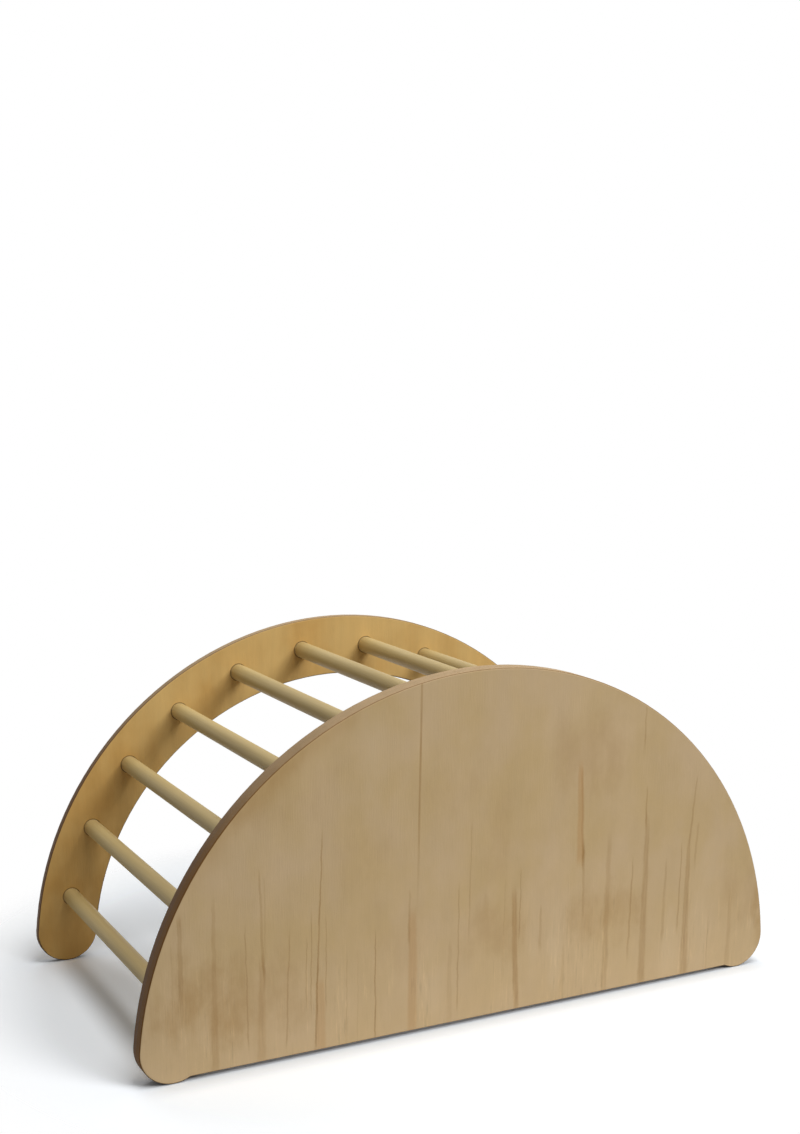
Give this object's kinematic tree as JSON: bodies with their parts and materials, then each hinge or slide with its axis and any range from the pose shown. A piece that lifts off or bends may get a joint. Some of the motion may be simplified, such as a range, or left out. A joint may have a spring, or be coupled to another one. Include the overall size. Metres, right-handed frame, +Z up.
{
  "type": "wooden rocker arch",
  "caption": "Low wooden climbing arch for a child: two plywood arches joined by round rungs, one side closed by a half-disc board; turned over, it rocks.",
  "frame": {"origin": "on the floor, under the middle of the arch", "axes": "+X along the length of the arch, +Y from the closed side to the open back side, +Z up"},
  "size_m": [0.9158, 0.454, 0.46],
  "materials": {
    "board": "matte clear-lacquered birch plywood",
    "ply": "matte clear-lacquered birch plywood",
    "rung": "smooth matte lacquered pale hardwood",
    "bolt": "zinc-plated steel",
    "insert": "yellow-plated steel"
  },
  "bodies": {
    "root": {"cover_board": "board", "front_arch": "ply", "back_arch": "ply", "rung_01": "rung", "rung_02": "rung", "rung_03": "rung", "rung_04": "rung", "rung_05": "rung", "rung_06": "rung", "rung_07": "rung", "rung_08": "rung", "rung_09": "rung", "rung_10": "rung", "rung_11": "rung", "rung_12": "rung", "front_rung_bolts": "bolt", "back_rung_bolts": "bolt", "cover_bolts": "bolt", "front_rung_inserts": "insert", "back_rung_inserts": "insert", "cover_inserts": "insert"}
  },
  "joints": []
}
